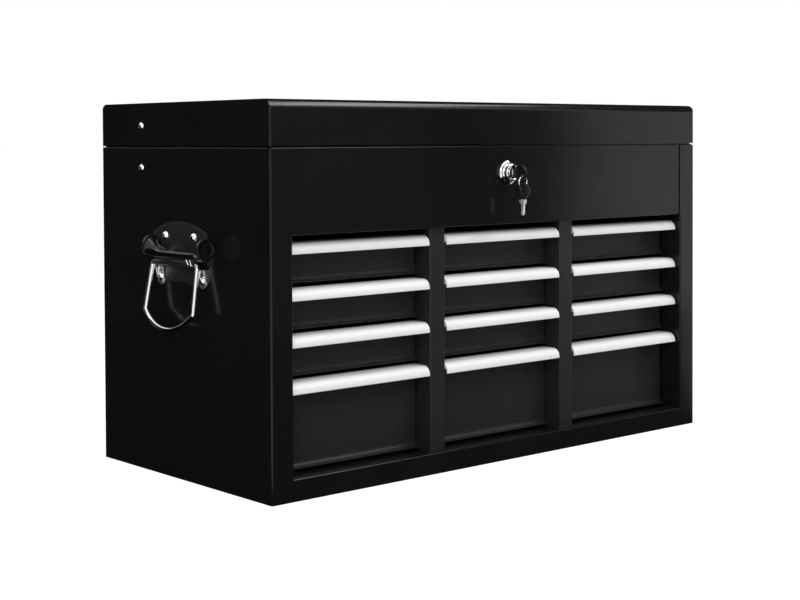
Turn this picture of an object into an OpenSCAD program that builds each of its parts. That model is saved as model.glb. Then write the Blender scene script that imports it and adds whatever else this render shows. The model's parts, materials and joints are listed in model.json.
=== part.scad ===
// Machinist's tool chest: a steel case with twelve drawers in three columns, a till under a
// hinged lid, a key lock in the front panel and a bail handle on each side.
// Millimetres. +X is to the right, +Y to the back, +Z up. The origin is the middle of the
// underside of the case. Everything is shown at rest: lid shut, drawers in, bails hanging.

/* [Case] */
// Width of the case across the front
case_w = 610; // [500:1:740]
// Depth of the case from front to back
case_d = 297; // [245:1:360]
// Height of the case from its underside up to the seam with the lid
case_h = 326.5; // [270:0.5:395]
// Height of the lid above the seam
lid_h = 43.5; // [36:0.5:60]
// Thickness of the folded sheet steel
sheet_t = 1; // [0.8:0.1:1.2]
// Gap between the case and the lid all round
seam_gap = 1; // [0.6:0.1:1.6]
// Radius of the upright corners of the case and the lid
corner_r = 2; // [1.6:0.1:4]
// Radius of the bends along the front and back of the lid's top
lid_bend_r = 9; // [6:0.5:14]
// Thickness of the folded hem along the rims
hem_t = 2.4; // [2.2:0.1:3]
// Height of the folded hem along the rims
hem_h = 8; // [6:0.5:10]
// Height of the dust lips above the rim of the case, behind the seam
dust_lip_h = 6; // [4:0.5:7]
// Distance of the dust lips from the hem in front of them
dust_lip_gap = 0.5; // [0.4:0.1:1]

/* [Drawer openings] */
// Width of the flange at each side of the drawer opening
flange_w = 25; // [20:1:32]
// Height of the rail below the drawers
rail_h = 20.7; // [16:0.1:26]
// Height of the upper front panel that holds the lock
panel_h = 81.1; // [70:0.1:98]
// Depth of the ledges folded back from the rail and the upper panel
ledge_d = 35; // [30:1:42]
// Width of the two posts between the columns
post_w = 19.8; // [16:0.1:24]
// How far the posts stand behind the front of the case
post_recess = 6.9; // [4:0.1:9]
// Width of the middle column between the posts
mid_col_w = 168.2; // [140:0.1:202]

/* [Drawers] */
// Height from one row of drawers to the next
row_pitch = 43.4; // [36:0.1:48]
// Gap above the pulls of the top row
top_gap = 7.5; // [4:0.5:9]
// Gap between a drawer front and the pull below it
row_gap = 4.5; // [2:0.5:5]
// Gap between the lowest drawer fronts and the rail
rail_gap = 3; // [2:0.5:5]
// Gap at each end of a drawer front and its pull
end_gap = 2; // [1:0.5:4]
// How far the drawer fronts stand behind the front of the case
face_recess = 28.7; // [24:0.1:33]
// Radius of the scoop along the foot of each drawer front
scoop_r = 5.5; // [4:0.5:7]
// Height of a drawer tray's side below the top of its pull
tray_drop = 6; // [5.5:0.5:8]
// Width of the flange on which a tray slides
slide_flange = 5; // [4:0.5:6]
// Depth of a runner from the wall it is fixed to
runner_d = 7; // [6:0.5:8]
// Height of a runner
runner_h = 8; // [7:0.5:9]
// Sideways clearance between a tray and its runners
slide_side_gap = 0.6; // [0.4:0.1:1]
// Height of a tray's flange over the lip that it rests on
slide_rest_gap = 0.3; // [0.2:0.1:0.5]
// Space left behind the trays
tray_back_gap = 8; // [5:1:20]

/* [Drawer pulls] */
// Radius of the rounded nose
nose_r = 9; // [8:0.5:9.5]
// Height of the pull from its top to its lip
pull_h = 10.4; // [10.4:0.1:14]
// Thickness of the aluminium section
pull_t = 1.5; // [1.2:0.1:2]
// How far the lip of the pull stands behind the front of the case
lip_recess = 5.4; // [3:0.1:8]

/* [Back hinge] */
// Number of knuckles, an odd number
knuckles = 13; // [9:2:19]
// Outer radius of the knuckles
knuckle_r = 2.6; // [2.4:0.1:3]
// Radius of the hinge pin
hinge_pin_r = 1.2; // [1:0.1:1.5]
// Distance from the back of the case to the hinge pin
hinge_offset = 3; // [2.9:0.1:3.6]
// Height of each hinge leaf
leaf_h = 15; // [12:1:20]
// Thickness of the hinge leaves
leaf_t = 0.9; // [0.7:0.1:1]
// Distance from each end of the hinge to the side of the case
hinge_inset = 15; // [10:1:40]

/* [Lid stays] */
// Distance of the stay rivets from the back of the case
stay_back = 77.5; // [60:0.5:90]
// Height of the lid rivet above the seam
stay_lid_z = 21.4; // [16:0.1:24]
// Depth of the case rivet below the seam
stay_case_z = 20.9; // [16:0.1:24]
// Distance between the two pivots of each stay link
link_l = 83.2; // [82:0.1:84.5]
// Width of the stay links
link_w = 12; // [10:0.5:14]
// Thickness of the stay links
link_t = 1.2; // [1:0.1:1.2]
// Radius of the stay rivets and of the elbow pins
stay_pin_r = 1.8; // [1.5:0.1:1.9]
// Radial clearance of the open pivot at each elbow
elbow_play = 0.6; // [0.5:0.1:1]

/* [Lock] */
// Height of the lock above the drawer opening
lock_rise = 53.1; // [45:0.1:57]
// Radius of the rosette
rosette_r = 12.5; // [11:0.5:15]
// Radius of the lock barrel in front of the rosette
barrel_r = 9; // [8.5:0.5:10]
// How far the barrel stands out of the panel
barrel_out = 8; // [6:0.5:10]
// Radius of the lock body through the panel
lock_body_r = 8; // [7:0.5:8.5]
// Length of the lock body behind the panel
lock_body_l = 16; // [14:1:20]
// Radius of the turning plug
plug_r = 5.5; // [5:0.5:6]
// Length of the cam from the lock axis
cam_l = 20; // [18:0.5:22]

/* [Keys] */
// Radius of the round key heads
bow_r = 8; // [7:0.5:9]
// Thickness of the key heads
bow_t = 3.5; // [3:0.1:4]
// Radius of the hole in a key head
bow_hole_r = 2.2; // [2:0.1:2.6]
// Thickness of the key blades
blade_t = 2; // [1.5:0.1:2.2]
// Width of the key blades
blade_w = 4.8; // [4:0.1:6]
// Width of the shoulders of the keys
shoulder_w = 8.4; // [7:0.1:11]
// Angle by which the spare key hangs turned towards the front
spare_turn = 16; // [0:1:18]
// Length of the spare key below its head
spare_l = 17.5; // [15:0.5:24]
// Mean radius of the key ring
ring_r = 5.65; // [5.5:0.05:8]
// Radius of the wire of the key ring
ring_wire_r = 0.75; // [0.6:0.05:0.8]

/* [Side handles] */
// Height of the bail pivot above the underside
pivot_z = 213; // [180:1:255]
// Distance of the bail pivot from the side of the case
pivot_out = 6.8; // [6.6:0.1:8]
// Width of the handle plate
plate_w = 95; // [90:1:110]
// Height of the handle plate above the bail pivot
plate_rise = 41; // [38:1:46]
// Rise of the arched top of the handle plate
plate_arch = 7; // [5:0.5:10]
// Thickness of the handle plate
plate_t = 1.2; // [1:0.1:1.5]
// Width of the tongue below the bail pivot
tongue_w = 50; // [44:1:58]
// Length of the tongue below the bail pivot
tongue_drop = 21; // [18:1:26]
// Rise of the arched lower edge of the tongue
tongue_arch = 3; // [0:0.5:5]
// Length of the chrome brackets below the bail pivot
bracket_drop = 22.5; // [20:0.5:28]
// Radius of the chrome wire of the bail
wire_r = 2.2; // [1.8:0.1:2.4]
// Half the width between the bail's legs at the pivot
leg_top = 39.5; // [38:0.5:42]
// Half the width between the bail's legs at their lower ends
leg_foot = 42.4; // [40:0.2:46]
// Length of the bail's legs
leg_l = 47; // [40:1:60]
// Depth of the curved part of the bail below its legs
bow_drop = 17.5; // [14:0.5:24]
// Angle at which the bail hangs out from the side
hang_angle = 9; // [8:0.5:12]
// Radius of the rolled barrel of the plate
roll_r = 3.5; // [3.2:0.1:3.8]
// Radius of the round ends of the black grip
grip_end_r = 11; // [10:0.5:12]
// Length of the black grip
grip_l = 98; // [90:1:110]
// Radius of the grip's middle bar
grip_bar_r = 3.7; // [3.2:0.1:4.2]
// How far the grip is set towards the front
grip_forward = 18; // [0:1:20]
// Height of the grip's ends above the bail pivot
grip_rise = 17; // [16:0.5:20]
// Distance of the grip's axis from the side of the case
grip_out = 14.5; // [13.5:0.5:18]

/* [Hidden] */
cols = 3;
rows = 4;
function drawer_name(c, r) = str("drawer_", c + 1, "_", r + 1);
function pull_name(c, r) = str("pull_", c + 1, "_", r + 1);
$fn = 48;
eps = 0.01;

paint_black = "#1c1c1e";
chrome = "silver";
satin_aluminium = "gainsboro";
zinc = "darkgray";
plastic_black = "#151515";

// Case planes
front_y = -case_d / 2;
back_y = case_d / 2;
side_x = case_w / 2;
inner_x = side_x - sheet_t;
open_x = side_x - flange_w;
soffit_z = case_h - panel_h;
till_z = soffit_z + sheet_t;
lid_z = case_h + seam_gap;
lid_top = lid_z + lid_h;
bend_r = 1.2;
seat_gap = 0.3;
inner_bend = bend_r - sheet_t;
hem_r = hem_t / 2;
panel_y = front_y + sheet_t;

// Columns, from left to right, as the inner faces of their walls
post_x = mid_col_w / 2 + post_w / 2;
col_lo = [-open_x, -mid_col_w / 2, post_x + post_w / 2];
col_hi = [-post_x - post_w / 2, mid_col_w / 2, open_x];

// Rows, counted from the top
function pull_top(r) = soffit_z - top_gap - r * row_pitch;
function face_foot(r) = r < rows - 1 ? pull_top(r + 1) + row_gap : rail_h + rail_gap;
function tray_top(r) = pull_top(r) - tray_drop;
tray_rise = 2;
function tray_foot(r) = face_foot(r) + tray_rise;
face_y = front_y + face_recess;
tray_front_y = face_y + sheet_t;
runner_set_back = 1.5;
runner_y0 = tray_front_y + runner_set_back;
tray_back_y = back_y - sheet_t - tray_back_gap;
tray_inset = runner_d + slide_side_gap;
lip_y = front_y + lip_recess;

// Hinge
hinge_y = back_y + hinge_offset;
hinge_z = case_h + seam_gap / 2;
hinge_l = case_w - 2 * hinge_inset;
knuckle_l = hinge_l / knuckles;
knuckle_gap = 0.3;
pin_play = 0.05;

// Lid stays, in the plane of one side wall
stay_y = back_y - stay_back;
stay_case = [stay_y, case_h - stay_case_z];
stay_lid = [stay_y, case_h + stay_lid_z];
stay_half = (stay_lid[1] - stay_case[1]) / 2;
elbow = [stay_y - sqrt(link_l * link_l - stay_half * stay_half), stay_case[1] + stay_half];
lower_link_x = side_x - hem_t - 0.5;
upper_link_x = lower_link_x - link_t - 0.4;

// Lock
lock_z = soffit_z + lock_rise;
barrel_y = panel_y - barrel_out;
lock_back_y = panel_y + lock_body_l;
cam_y = lock_back_y + 0.6;
cam_t = 2;
fit_gap = 0.05;

// Keys: the head of the key in the lock, its hole, the ring and the spare key
shoulder_y = barrel_y - 0.5;
shoulder_l = 3;
bow_y = shoulder_y - shoulder_l - bow_r + 1;
key_hole_y = bow_y - 3;
key_hole_z = lock_z - 3;
ring_drop = 1;
ring_z = key_hole_z - ring_drop - ring_r;
spare_hole_z = ring_z - ring_r - ring_drop;
spare_bow_z = spare_hole_z - 1.7;

// Side handle, on the left side: x is the distance outwards from the side
bracket_y = [-leg_top, leg_top - 5.8];
plate_rivets = [for (y = [-25, 25]) [y, pivot_z + 26.2]];
bracket_rivets = [for (y = bracket_y) [y, pivot_z - 14.5]];
rivet_r = 4.6;
dome_h = 3.2;
bracket_t = 1.2;
knob_r = wire_r + 0.1;
rivet_shank_r = 2;

// ---------------------------------------------------------------- shared shapes

// Outline of a rectangle about the origin with round corners
module rounded_plan(w, d, r) {
    square([w - 2 * r, d], center = true);
    square([w, d - 2 * r], center = true);
    for (sx = [-1, 1], sy = [-1, 1])
        translate([sx * (w / 2 - r), sy * (d / 2 - r)]) circle(r);
}

// Quarter of a ring in the quadrant -x -y, for the bend of a sheet
module quarter_ring(r_out, r_in) {
    difference() {
        intersection() {
            circle(r_out);
            translate([-r_out, -r_out]) square(r_out);
        }
        circle(r_in);
    }
}

// Extrudes an outline drawn in Y and Z along X, centred on x
module along_x(length, x = 0) {
    translate([x - length / 2, 0, 0]) rotate([90, 0, 90]) linear_extrude(length) children();
}

// Extrudes an outline drawn in X and Z along Y from y0 to y1
module along_y(y0, y1) {
    translate([0, y1, 0]) rotate([90, 0, 0]) linear_extrude(y1 - y0) children();
}

// Cylinder along X from x0 to x1
module rod_x(x0, x1, r) {
    translate([x0, 0, 0]) rotate([0, 90, 0]) cylinder(h = x1 - x0, r = r);
}

// Cylinder along Y from y0 to y1
module rod_y(y0, y1, r) {
    translate([0, y1, 0]) rotate([90, 0, 0]) cylinder(h = y1 - y0, r = r);
}

// Box between two corners
module box(a, b) {
    translate(a) cube(b - a);
}

// Hem of a rim: the section stands on y = 0, z = 0 and its round edge is at the top
module hem_outline() {
    square([hem_t, hem_h - hem_r]);
    translate([hem_r, hem_h - hem_r]) circle(hem_r, $fn = 32);
}

// Hems along the two sides and the back, with the front if wanted, round edge up at z = 0
module rim(with_front) {
    intersection() {
        translate([0, 0, -hem_h]) union() {
            for (s = [-1, 1])
                along_y(front_y + (with_front ? 0 : sheet_t + hem_t + 0.4), back_y)
                    scale_side(s) hem_outline();
            along_x(case_w) translate([back_y, 0]) mirror([1, 0]) hem_outline();
            if (with_front) along_x(case_w) translate([front_y, 0]) hem_outline();
        }
        translate([0, 0, -hem_h - 1]) linear_extrude(hem_h + 2)
            rounded_plan(case_w, case_d, corner_r);
    }
}

// Lip that covers the seam from inside: an angle on the wall below the hem. s is -1 for the
// front and 1 for the back, and wall is how far the wall's inner face is from the middle.
module dust_lip(s, wall) {
    out = wall + sheet_t - hem_t - dust_lip_gap;
    foot_z = case_h - hem_h - 1 - sheet_t;
    along_x(2 * (side_x - hem_t - dust_lip_gap)) mirror([s < 0 ? 1 : 0, 0])
        translate([out - sheet_t, foot_z]) {
            square([sheet_t, case_h + dust_lip_h - foot_z]);
            square([wall + eps - out + sheet_t, sheet_t]);
        }
}

// Places a section that starts at the left side, or its mirror image at the right
module scale_side(s) {
    if (s < 0) translate([-side_x, 0]) children();
    else translate([side_x, 0]) mirror([1, 0]) children();
}

// Both sides of the chest: the children are drawn for the left side
module both_sides() {
    children();
    mirror([1, 0, 0]) children();
}

// Dome head of a rivet on the plane x = 0, bulging towards -x
module dome(r, h) {
    ball = (r * r + h * h) / (2 * h);
    intersection() {
        translate([ball - h, 0, 0]) sphere(ball, $fn = 64);
        rod_x(-h - 1, 0, r);
    }
}

// ---------------------------------------------------------------- case

// Sides, back and front flanges, folded from one sheet, with the liners beside the drawers
module case_shell() {
    color(paint_black) difference() {
        union() {
            linear_extrude(case_h - hem_r) difference() {
                rounded_plan(case_w, case_d, corner_r);
                rounded_plan(case_w - 2 * sheet_t, case_d - 2 * sheet_t, corner_r - sheet_t);
                translate([-open_x - bend_r, front_y - 1]) square([2 * (open_x + bend_r), 4]);
            }
            // Edge of the flanges: bent round beside the drawers, plain beside the panel
            both_sides() {
                linear_extrude(soffit_z) translate([-open_x - bend_r, front_y + bend_r])
                    mirror([1, 0]) quarter_ring(bend_r, inner_bend);
                box([-open_x - bend_r, front_y, soffit_z - eps],
                    [-open_x, panel_y, case_h - hem_r]);
                box([-open_x - sheet_t, front_y + bend_r - eps, sheet_t],
                    [-open_x, back_y - sheet_t, soffit_z]);
                box([-open_x - sheet_t, panel_y + ledge_d, soffit_z - eps],
                    [-open_x, back_y - sheet_t, till_z]);
            }
            translate([0, 0, case_h]) rim(false);
            dust_lip(1, back_y - sheet_t);
        }
        both_sides() {
            translate([-side_x - 1, stay_case[0], stay_case[1]])
                rod_x(0, 4, stay_pin_r + fit_gap);
            for (p = concat(plate_rivets, bracket_rivets)) translate([-side_x - 1, p[0], p[1]])
                rod_x(0, 4, rivet_shank_r + fit_gap);
        }
    }
}

// Floor of the case, with the rail below the drawers folded up from it
module bottom_pan() {
    color(paint_black) {
        box([-inner_x + seat_gap, panel_y + 0.7, 0],
            [inner_x - seat_gap, back_y - sheet_t - seat_gap, sheet_t]);
        along_x(2 * open_x) translate([front_y, 0]) {
            square([sheet_t, rail_h - bend_r]);
            square([3, sheet_t]);
            translate([bend_r, rail_h - bend_r]) mirror([0, 1])
                quarter_ring(bend_r, inner_bend);
            translate([bend_r, rail_h - sheet_t]) square([ledge_d - bend_r, sheet_t]);
            translate([ledge_d - sheet_t, 0]) square([sheet_t, rail_h]);
        }
    }
}

// Upper front panel, with the lock hole, the ledge over the drawers and a hem at its rim
module front_panel() {
    color(paint_black) dust_lip(-1, -panel_y - sheet_t);
    color(paint_black) difference() {
        along_x(2 * (side_x - corner_r)) translate([panel_y, 0]) {
            translate([0, soffit_z + bend_r]) square([sheet_t, panel_h - bend_r - hem_r]);
            translate([bend_r, soffit_z + bend_r]) quarter_ring(bend_r, inner_bend);
            translate([bend_r, soffit_z]) square([ledge_d - bend_r, sheet_t]);
            translate([0, case_h - hem_h]) hem_outline();
        }
        translate([0, 0, lock_z]) rod_y(panel_y - 1, panel_y + 5, lock_body_r + fit_gap);
    }
}

// Channel between two columns, closed by a post at the front
module divider(x) {
    color(paint_black) difference() {
        translate([x, 0, sheet_t]) linear_extrude(till_z - sheet_t) {
            y0 = front_y + post_recess;
            y1 = back_y - sheet_t;
            translate([-post_w / 2 + bend_r, y0])
                square([post_w - 2 * bend_r, sheet_t]);
            for (s = [0, 1]) mirror([s, 0]) {
                translate([-post_w / 2 + bend_r, y0 + bend_r])
                    quarter_ring(bend_r, inner_bend);
                translate([-post_w / 2, y0 + bend_r]) square([sheet_t, y1 - y0 - bend_r]);
                translate([-post_w / 2, y1 - sheet_t]) square([post_w / 3, sheet_t]);
            }
        }
        box([x - post_w, front_y, 0], [x + post_w, front_y + ledge_d, rail_h]);
        box([x - post_w, front_y, soffit_z], [x + post_w, panel_y + ledge_d, till_z + 1]);
    }
}

module divider_left() { divider(-post_x); }
module divider_right() { divider(post_x); }

// Floor of the till, over the drawers
module till_floor() {
    color(paint_black)
        box([-inner_x + seat_gap, panel_y + 1.5, till_z],
            [inner_x - seat_gap, back_y - sheet_t - seat_gap, till_z + sheet_t]);
}

// Pair of channels for one drawer, open towards it and fixed to the walls of its column
module runner_pair(c, r) {
    foot = tray_top(r) - 2 * sheet_t - slide_rest_gap;
    y1 = tray_back_y + 4;
    for (s = [0, 1]) {
        wall = s == 0 ? col_lo[c] : col_hi[c];
        translate([wall, 0, foot]) mirror([s, 0, 0]) {
            box([0, runner_y0, 0], [sheet_t, y1, runner_h]);
            box([0, runner_y0, 0], [runner_d, y1, sheet_t]);
            box([0, runner_y0, runner_h - sheet_t], [runner_d, y1, runner_h]);
        }
    }
}

module runners(c) {
    color(zinc) for (r = [0:rows - 1]) runner_pair(c, r);
}

module runners_left_column() { runners(0); }
module runners_middle_column() { runners(1); }
module runners_right_column() { runners(2); }

// ---------------------------------------------------------------- drawers

// Tray with sliding flanges along its top edges and a front sheet with a scooped foot
module drawer(c, r) {
    x0 = col_lo[c] + tray_inset;
    x1 = col_hi[c] - tray_inset;
    foot = tray_foot(r);
    top = tray_top(r);
    face_z0 = face_foot(r);
    face_top = pull_top(r) - pull_t;
    color(paint_black) {
        difference() {
            box([x0, tray_front_y, foot], [x1, tray_back_y, top]);
            box([x0 + sheet_t, tray_front_y + sheet_t, foot + sheet_t],
                [x1 - sheet_t, tray_back_y - sheet_t, top + 1]);
        }
        box([x0 - slide_flange, tray_front_y, top - sheet_t], [x0 + eps, tray_back_y, top]);
        box([x1 - eps, tray_front_y, top - sheet_t], [x1 + slide_flange, tray_back_y, top]);
        along_x(col_hi[c] - col_lo[c] - 2 * end_gap, (col_lo[c] + col_hi[c]) / 2) {
            translate([face_y, face_z0 + scoop_r + sheet_t])
                square([sheet_t, face_top - face_z0 - scoop_r - sheet_t]);
            translate([face_y - scoop_r, face_z0 + scoop_r + sheet_t])
                mirror([1, 0]) quarter_ring(scoop_r + sheet_t, scoop_r);
        }
    }
}

// Aluminium pull: a hooked section with a rounded nose, seated over the drawer front
module pull(c, r) {
    top = pull_top(r);
    color(satin_aluminium)
        along_x(col_hi[c] - col_lo[c] - 2 * end_gap, (col_lo[c] + col_hi[c]) / 2) {
            nose_y = lip_y + nose_r;
            translate([nose_y, top - nose_r]) mirror([0, 1])
                quarter_ring(nose_r, nose_r - pull_t);
            translate([lip_y, top - pull_h + pull_t / 2])
                square([pull_t, pull_h - nose_r - pull_t / 2]);
            translate([lip_y + pull_t / 2, top - pull_h + pull_t / 2]) circle(pull_t / 2, $fn = 32);
            translate([nose_y, top - pull_t]) square([tray_front_y + sheet_t - nose_y, pull_t]);
            translate([face_y - pull_t, top - pull_h + 1]) square([pull_t, pull_h - 1 - eps]);
            translate([tray_front_y, top - tray_drop]) square([sheet_t, tray_drop - eps]);
        }
}

// ---------------------------------------------------------------- hinge and lid

// Hinge leaf with its knuckles: first is 0 for the case and 1 for the lid, and up is the
// way the leaf points from the pin
module hinge_leaf(first, up) {
    color(zinc) difference() {
        union() {
            x0 = -hinge_l / 2;
            clear = knuckle_r + 0.6;
            z_near = hinge_z + up * clear;
            z_far = hinge_z + up * (clear + leaf_h);
            box([x0, back_y, min(z_near, z_far)], [x0 + hinge_l, back_y + leaf_t, max(z_near, z_far)]);
            for (i = [first:2:knuckles - 1]) {
                xa = x0 + i * knuckle_l + knuckle_gap / 2;
                xb = xa + knuckle_l - knuckle_gap;
                z_tab = hinge_z + up * (clear + 1);
                translate([0, hinge_y, hinge_z]) rod_x(xa, xb, knuckle_r);
                box([xa, hinge_y - knuckle_r, min(hinge_z, z_tab)],
                    [xb, hinge_y - knuckle_r + leaf_t, max(hinge_z, z_tab)]);
            }
        }
        translate([0, hinge_y, hinge_z])
            rod_x(-hinge_l / 2 - 1, hinge_l / 2 + 1, hinge_pin_r + pin_play);
    }
}

module hinge_case_leaf() { hinge_leaf(0, -1); }
module hinge_lid_leaf() { hinge_leaf(1, 1); }

module hinge_pin() {
    color(zinc) translate([0, hinge_y, hinge_z]) rod_x(-hinge_l / 2, hinge_l / 2, hinge_pin_r);
}

// Solid of the lid, shrunk by t on all sides but the bottom
module lid_block(t) {
    w = case_w - 2 * t;
    d = case_d - 2 * t;
    h = lid_h - hem_r - t;
    r = lid_bend_r - t;
    intersection() {
        along_x(w) {
            translate([-d / 2, lid_z + hem_r]) square([d, h - r]);
            translate([-d / 2 + r, lid_z + hem_r]) square([d - 2 * r, h]);
            for (s = [-1, 1]) translate([s * (d / 2 - r), lid_top - t - r]) circle(r, $fn = 64);
        }
        translate([0, 0, lid_z]) linear_extrude(lid_h) rounded_plan(w, d, corner_r - t);
    }
}

// Lid folded from sheet, with a hem round its open edge
module lid() {
    color(paint_black) difference() {
        union() {
            difference() {
                lid_block(0);
                translate([0, 0, -eps]) lid_block(sheet_t);
            }
            translate([0, 0, lid_z]) mirror([0, 0, 1]) rim(true);
        }
        both_sides() translate([-side_x - 1, stay_lid[0], stay_lid[1]])
            rod_x(0, 4, stay_pin_r + fit_gap);
    }
}

// Hook that hangs from the front of the lid, behind the cam of the lock
module lid_catch() {
    x0 = cam_l * 0.6;
    x1 = cam_l;
    leg_y = cam_y + cam_t + 0.6;
    leg_t = 1.5;
    base_z = lid_z + hem_h + 1;
    foot_z = lock_z - 6.5;
    color(zinc) {
        box([x0, front_y + sheet_t, base_z], [x1, front_y + sheet_t + leg_t, base_z + 14]);
        box([x0, front_y + sheet_t, base_z], [x1, leg_y + leg_t, base_z + leg_t]);
        box([x0, leg_y, foot_z], [x1, leg_y + leg_t, base_z + leg_t]);
        box([x0, cam_y - 1, foot_z], [x1, leg_y + leg_t, foot_z + leg_t]);
    }
}

// ---------------------------------------------------------------- lid stays

// Rivet through the side wall, with a head inside and out, for a link at distance link_x
module stay_rivet(p, link_x) {
    link_gap = 0.15;
    translate([0, p[0], p[1]]) {
        translate([-side_x, 0, 0]) dome(3.9, 2.2);
        rod_x(-side_x, -link_x + link_t + link_gap + 0.8, stay_pin_r);
        rod_x(-inner_x, -link_x - link_gap, 3.6);
        rod_x(-link_x + link_t + link_gap, -link_x + link_t + link_gap + 0.8, 3.6);
    }
}

module stay_case_rivets() { color(chrome) both_sides() stay_rivet(stay_case, lower_link_x); }
module stay_lid_rivets() { color(chrome) both_sides() stay_rivet(stay_lid, upper_link_x); }

// Flat link from p to q in the plane of the side, with round ends
module link_bar(p, q, link_x) {
    run = q - p;
    translate([-link_x, p[0], p[1]]) rotate([atan2(run[1], run[0]), 0, 0]) {
        box([0, 0, -link_w / 2], [link_t, link_l, link_w / 2]);
        rod_x(0, link_t, link_w / 2);
        translate([0, link_l, 0]) rod_x(0, link_t, link_w / 2);
    }
}

// Lower links, pivoted on the case, each with the pin of its elbow
module stay_lower_links() {
    color(zinc) both_sides() {
        difference() {
            link_bar(stay_case, elbow, lower_link_x);
            translate([0, stay_case[0], stay_case[1]])
                rod_x(-side_x, -side_x + 10, stay_pin_r + fit_gap);
        }
        translate([0, elbow[0], elbow[1]]) {
            rod_x(-lower_link_x + link_t, -upper_link_x + link_t + 1.1, stay_pin_r);
            rod_x(-upper_link_x + link_t + 0.3, -upper_link_x + link_t + 1.1, 4);
        }
    }
}

// Upper links, pivoted on the lid, with the wide hole of the open pivot at the elbow
module stay_upper_links() {
    color(zinc) both_sides() difference() {
        link_bar(stay_lid, elbow, upper_link_x);
        translate([0, stay_lid[0], stay_lid[1]])
            rod_x(-side_x, -side_x + 10, stay_pin_r + fit_gap);
        translate([0, elbow[0], elbow[1]])
            rod_x(-side_x, -side_x + 10, stay_pin_r + elbow_play);
    }
}

// ---------------------------------------------------------------- lock and keys

// Lock body: rosette and raised barrel in front of the panel, round body through it
module lock_body() {
    color(chrome) translate([0, 0, lock_z]) difference() {
        union() {
            rod_y(panel_y - 1.2, panel_y, rosette_r);
            rod_y(panel_y - 2.2, panel_y - 1.2, rosette_r - 1);
            rod_y(barrel_y + 1, panel_y - 2.2, barrel_r);
            rod_y(barrel_y, barrel_y + 1, barrel_r - 0.8);
            rod_y(panel_y, lock_back_y, lock_body_r);
        }
        rod_y(barrel_y - 1, lock_back_y + 1, plug_r + fit_gap);
        rod_y(barrel_y - 1, barrel_y + 0.8, plug_r + 1);
    }
}

// Hexagon nut that clamps the lock body to the panel from behind
module lock_nut() {
    color(zinc) translate([0, panel_y + sheet_t + 5, lock_z]) rotate([90, 0, 0]) difference() {
        cylinder(h = 5, r = lock_body_r + 4, $fn = 6);
        translate([0, 0, -1]) cylinder(h = 7, r = lock_body_r + fit_gap);
    }
}

// Plug that turns with the key, with a slot for the blade and a stub for the cam
module lock_plug() {
    slot_t = blade_t + 0.4;
    slot_w = blade_w + 0.4;
    color(chrome) translate([0, 0, lock_z]) difference() {
        union() {
            rod_y(barrel_y + 0.4, cam_y - 0.3, plug_r);
            rod_y(cam_y - 0.3, cam_y + cam_t, 3);
        }
        box([-slot_t / 2, barrel_y - 1, -slot_w / 2], [slot_t / 2, lock_back_y - 3, slot_w / 2]);
    }
}

// Cam on the back of the plug: it points up when the lock is open
module lock_cam() {
    color(zinc) translate([0, 0, lock_z]) difference() {
        union() {
            rod_y(cam_y, cam_y + cam_t, 7);
            box([-4, cam_y, 0], [4, cam_y + cam_t, cam_l - 4]);
            translate([0, 0, cam_l - 4]) rod_y(cam_y, cam_y + cam_t, 4);
        }
        rod_y(cam_y - 1, cam_y + cam_t + 1, 3);
    }
}

// Round key head in the plane x = 0, with its hole
module key_head(y, z, hole_y, hole_z) {
    difference() {
        union() {
            translate([0, y, z]) rod_x(-bow_t / 2, bow_t / 2, bow_r - 0.7);
            translate([0, y, z]) rod_x(-bow_t / 2 + 0.7, bow_t / 2 - 0.7, bow_r);
        }
        translate([0, hole_y, hole_z]) rod_x(-bow_t, bow_t, bow_hole_r);
    }
}

module key_in_lock() {
    color(plastic_black) {
        key_head(bow_y, lock_z, key_hole_y, key_hole_z);
        box([-blade_t / 2, shoulder_y - shoulder_l, lock_z - shoulder_w / 2],
            [blade_t / 2, shoulder_y, lock_z + shoulder_w / 2]);
        box([-blade_t / 2, shoulder_y - eps, lock_z - blade_w / 2],
            [blade_t / 2, lock_back_y - 4, lock_z + blade_w / 2]);
    }
}

// Ring through both key heads, in the plane across the lock axis
module key_ring() {
    color(chrome) translate([0, key_hole_y, ring_z]) rotate([90, 0, 0])
        rotate_extrude($fn = 64) translate([ring_r, 0]) circle(ring_wire_r, $fn = 24);
}

// Spare key, hanging from the ring and turned a little towards the front
module spare_key() {
    color(chrome) translate([0, key_hole_y, 0]) rotate([0, 0, spare_turn])
        translate([0, -key_hole_y, 0]) {
        key_head(key_hole_y, spare_bow_z, key_hole_y, spare_hole_z);
        z0 = spare_bow_z - bow_r;
        box([-blade_t / 2, key_hole_y - shoulder_w / 2, z0 - 4],
            [blade_t / 2, key_hole_y + shoulder_w / 2, z0 + 2]);
        box([-blade_t / 2, key_hole_y - blade_w / 2, z0 - spare_l + blade_w / 2],
            [blade_t / 2, key_hole_y + blade_w / 2, z0]);
        translate([0, key_hole_y, z0 - spare_l + blade_w / 2])
            rod_x(-blade_t / 2, blade_t / 2, blade_w / 2);
    }
}

// ---------------------------------------------------------------- side handles

// Outline of the handle plate in Y and Z: an arched plate over a narrower tongue
module plate_outline() {
    arch_r = (pow(plate_w / 2 - 9, 2) + plate_arch * plate_arch) / (2 * plate_arch);
    top = pivot_z + plate_rise;
    foot = pivot_z + roll_r - sheet_t;
    intersection() {
        translate([0, top - arch_r]) circle(arch_r, $fn = 128);
        translate([0, (top + foot) / 2]) rounded_plan(plate_w, top - foot, 9);
    }
    difference() {
        translate([-tongue_w / 2, pivot_z - tongue_drop]) square([tongue_w, tongue_drop + 10]);
        foot_r = (pow(tongue_w / 2, 2) + pow(tongue_arch, 2)) / (2 * max(tongue_arch, eps));
        translate([0, pivot_z - tongue_drop + tongue_arch - foot_r]) circle(foot_r, $fn = 128);
    }
}

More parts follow.
